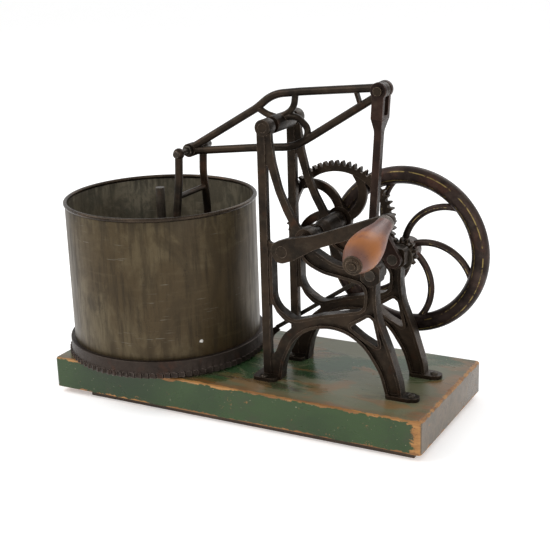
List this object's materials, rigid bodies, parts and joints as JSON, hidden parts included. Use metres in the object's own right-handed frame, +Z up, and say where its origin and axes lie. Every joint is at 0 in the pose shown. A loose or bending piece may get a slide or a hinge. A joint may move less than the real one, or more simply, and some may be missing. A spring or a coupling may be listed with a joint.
{
  "type": "hand-cranked rotary food chopper",
  "caption": "Hand-cranked food chopper on a painted board: a geared flywheel and walking beam drive a chopping fork inside a turning tin vat.",
  "frame": {"origin": "on the underside of the plinth, at the middle of the board's length and width", "axes": "+X along the board from the vat to the hand crank's gear, +Y from the crank side to the flywheel side, +Z up"},
  "size_m": [0.5087, 0.326, 0.38],
  "materials": {
    "painted_wood": "worn green paint over wood",
    "bare_wood": "plain",
    "iron": "dark patina",
    "steel": "aged",
    "tinplate": "dull",
    "turned_wood": "polished by use",
    "brass": "tarnished",
    "bright_ferrule": "worn bright"
  },
  "bodies": {
    "stand": {"base_board": "painted_wood", "base_plinth": "bare_wood", "side_frame_front": "iron", "side_frame_rear": "iron", "frame_screws": "steel", "beam_pivot_shaft": "steel", "centre_post": "steel"},
    "turntable": {"ratchet_ring": "iron", "vat_shell": "tinplate", "vat_rim_wire": "tinplate", "chopping_block": "bare_wood"},
    "crank": {"crank_shaft": "steel", "crank_arm": "iron", "drive_gear": "iron", "grip_spindle": "steel", "grip_washer": "brass"},
    "grip": {"wooden_grip": "turned_wood", "grip_ferrule": "bright_ferrule"},
    "flywheel": {"flywheel_shaft": "steel", "rear_crank_web": "iron", "drive_pinion": "iron", "flywheel": "iron", "pawl_eccentric": "iron"},
    "front_crank": {"front_crank_web": "iron", "front_crank_journal": "steel"},
    "pawl": {"pawl_rod": "steel", "pawl_tip": "iron"},
    "beam": {"walking_beam": "iron"},
    "fork": {"chopper_fork": "steel", "fork_pin": "steel", "fork_collars": "steel", "blade_bar": "steel", "chopping_blade": "steel"},
    "rod": {"connecting_rod": "iron", "rod_bolt": "steel", "crank_pin": "steel"}
  },
  "joints": [
    {"name": "turntable_turn", "type": "hinge", "parent": "stand", "child": "turntable", "pos_m": [-0.1323, 0, 0.055], "axis": [0, 0, 1], "continuous": true},
    {"name": "crank_turn", "type": "hinge", "parent": "stand", "child": "crank", "pos_m": [0.0838, 0, 0.2141], "axis": [0, 1, 0], "continuous": true},
    {"name": "grip_spin", "type": "hinge", "parent": "crank", "child": "grip", "pos_m": [0.20182, -0.105, 0.25823], "axis": [0.0644, -0.9829, -0.1723], "continuous": true},
    {"name": "flywheel_turn", "type": "hinge", "parent": "stand", "child": "flywheel", "pos_m": [0.15953, 0, 0.182], "axis": [0, 1, 0], "continuous": true},
    {"name": "front_crank_turn", "type": "hinge", "parent": "stand", "child": "front_crank", "pos_m": [0.15953, 0, 0.182], "axis": [0, 1, 0], "continuous": true},
    {"name": "pawl_swing", "type": "hinge", "parent": "flywheel", "child": "pawl", "pos_m": [0.15953, 0, 0.179], "axis": [0, 1, 0], "continuous": true},
    {"name": "beam_rock", "type": "hinge", "parent": "stand", "child": "beam", "pos_m": [0.036, 0, 0.3313], "axis": [0, 1, 0], "range_deg": [-1.8, 25.5]},
    {"name": "fork_hang", "type": "hinge", "parent": "beam", "child": "fork", "pos_m": [-0.08049, 0, 0.29277], "axis": [0, 1, 0], "range_deg": [-26, 2.3]},
    {"name": "rod_hang", "type": "hinge", "parent": "beam", "child": "rod", "pos_m": [0.15601, 0, 0.37099], "axis": [0, 1, 0], "range_deg": [-26, 2.3]}
  ],
  "couplings": [
    {"joint": "flywheel_turn", "follows": "crank_turn", "ratio": -4},
    {"joint": "front_crank_turn", "follows": "crank_turn", "ratio": -4},
    {"joint": "pawl_swing", "follows": "crank_turn", "ratio": 4},
    {"joint": "fork_hang", "follows": "beam_rock", "ratio": -1},
    {"joint": "rod_hang", "follows": "beam_rock", "ratio": -1}
  ]
}
